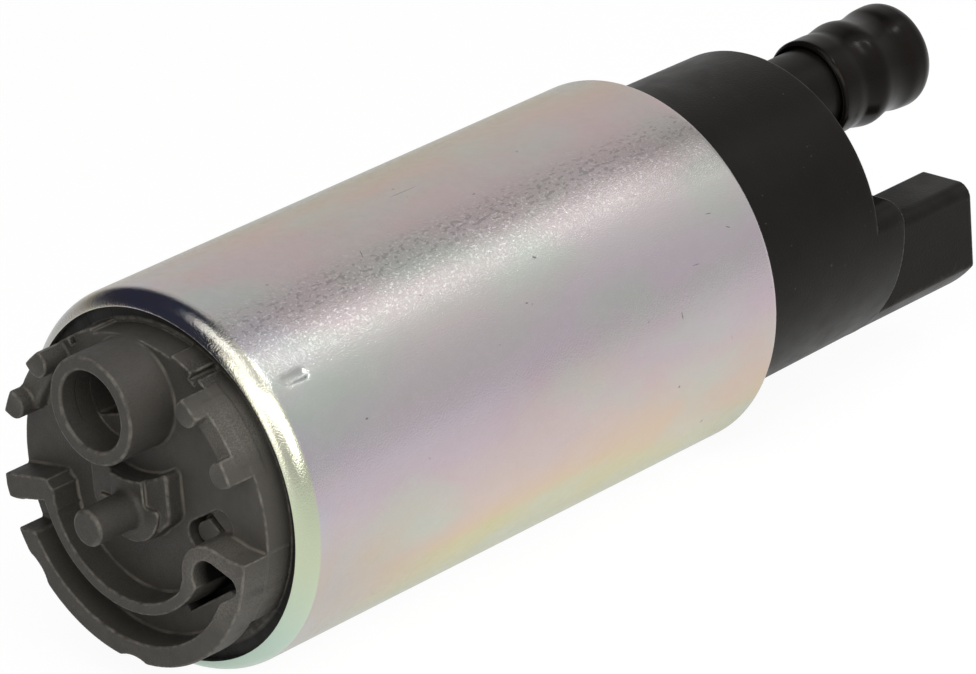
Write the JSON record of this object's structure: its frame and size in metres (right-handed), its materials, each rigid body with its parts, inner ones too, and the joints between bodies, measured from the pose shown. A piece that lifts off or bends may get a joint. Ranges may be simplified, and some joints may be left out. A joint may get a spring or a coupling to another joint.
{
  "type": "in-tank fuel pump",
  "caption": "Electric in-tank fuel pump: clamped steel shell, regenerative impeller at the inlet end, motor, outlet cover with check valve and plug socket, capped nipple.",
  "frame": {"origin": "on the shell's axis, at the middle of the shell's length", "axes": "+X along the pump's axis from the inlet cover to the outlet cover, +Z from the axis towards the inlet tube and the outlet nipple, +Y to the side away from the plug socket"},
  "size_m": [0.1158, 0.038, 0.038],
  "materials": {
    "zinc_shell": "zinc plate with a pale iridescent passivation, satin",
    "grey_moulding": "filled moulding compound, dark warm grey, matte",
    "black_moulding": "glass-filled plastic, black, satin",
    "soft_black": "soft vinyl, black, glossy",
    "impeller_resin": "brown phenolic resin, matte",
    "casing_alloy": "die-cast and anodised, matte",
    "ground_steel": "ground and polished",
    "core_steel": "stacked electrical sheet, varnished",
    "winding_wire": "enamelled copper wire",
    "magnet_ferrite": "sintered ferrite, dark grey",
    "spring_steel": "spring steel, bright",
    "carbon": "pressed carbon, matte",
    "sintered_bronze": "sintered bronze, oiled",
    "contact_metal": "tinned brass",
    "inner_plastic": "natural acetal, satin",
    "seal_rubber": "nitrile rubber, matte"
  },
  "bodies": {
    "housing": {"steel_shell": "zinc_shell", "inlet_cover": "grey_moulding", "thrust_pin": "ground_steel", "pump_casing": "casing_alloy", "casing_bush": "sintered_bronze", "magnet_upper": "magnet_ferrite", "magnet_lower": "magnet_ferrite", "magnet_clip_left": "spring_steel", "magnet_clip_right": "spring_steel", "bearing_frame": "inner_plastic", "frame_bush": "sintered_bronze", "brush_spring_a": "spring_steel", "brush_spring_b": "spring_steel", "choke_core_a": "magnet_ferrite", "choke_core_b": "magnet_ferrite", "choke_coil_a": "winding_wire", "choke_coil_b": "winding_wire", "outlet_cover": "black_moulding", "cover_seal": "seal_rubber", "terminal_a": "contact_metal", "terminal_b": "contact_metal", "check_spring": "spring_steel", "check_retainer": "inner_plastic", "relief_spring": "spring_steel", "relief_plug": "inner_plastic"},
    "rotor": {"armature_shaft": "ground_steel", "armature_core": "core_steel", "front_insulator": "inner_plastic", "rear_insulator": "inner_plastic", "armature_winding": "winding_wire", "commutator_hub": "inner_plastic", "commutator_segments": "contact_metal", "impeller": "impeller_resin"},
    "brush_a": {"brush_a": "carbon"},
    "brush_b": {"brush_b": "carbon"},
    "check_valve": {"check_poppet": "inner_plastic"},
    "relief_valve": {"relief_ball": "ground_steel"},
    "dust_cap": {"dust_cap": "soft_black"}
  },
  "joints": [
    {"name": "rotor_spin", "type": "hinge", "parent": "housing", "child": "rotor", "pos_m": [0, 0, 0], "axis": [1, 0, 0], "continuous": true},
    {"name": "brush_a_travel", "type": "slide", "parent": "housing", "child": "brush_a", "axis": [1, 0, 0], "range_m": [0, 0.002], "stiffness_N_per_m": 150, "springref_m": -0.001, "deforming": ["brush_spring_a"]},
    {"name": "brush_b_travel", "type": "slide", "parent": "housing", "child": "brush_b", "axis": [1, 0, 0], "range_m": [0, 0.002], "stiffness_N_per_m": 150, "springref_m": -0.001, "deforming": ["brush_spring_b"]},
    {"name": "check_valve_lift", "type": "slide", "parent": "housing", "child": "check_valve", "axis": [1, 0, 0], "range_m": [0, 0.002], "stiffness_N_per_m": 100, "springref_m": -0.001, "deforming": ["check_spring"]},
    {"name": "relief_valve_lift", "type": "slide", "parent": "housing", "child": "relief_valve", "axis": [1, 0, 0], "range_m": [0, 0.0012], "stiffness_N_per_m": 200, "springref_m": -0.002, "deforming": ["relief_spring"]},
    {"name": "dust_cap_pull", "type": "slide", "parent": "housing", "child": "dust_cap", "axis": [1, 0, 0], "range_m": [0, 0.02]}
  ]
}
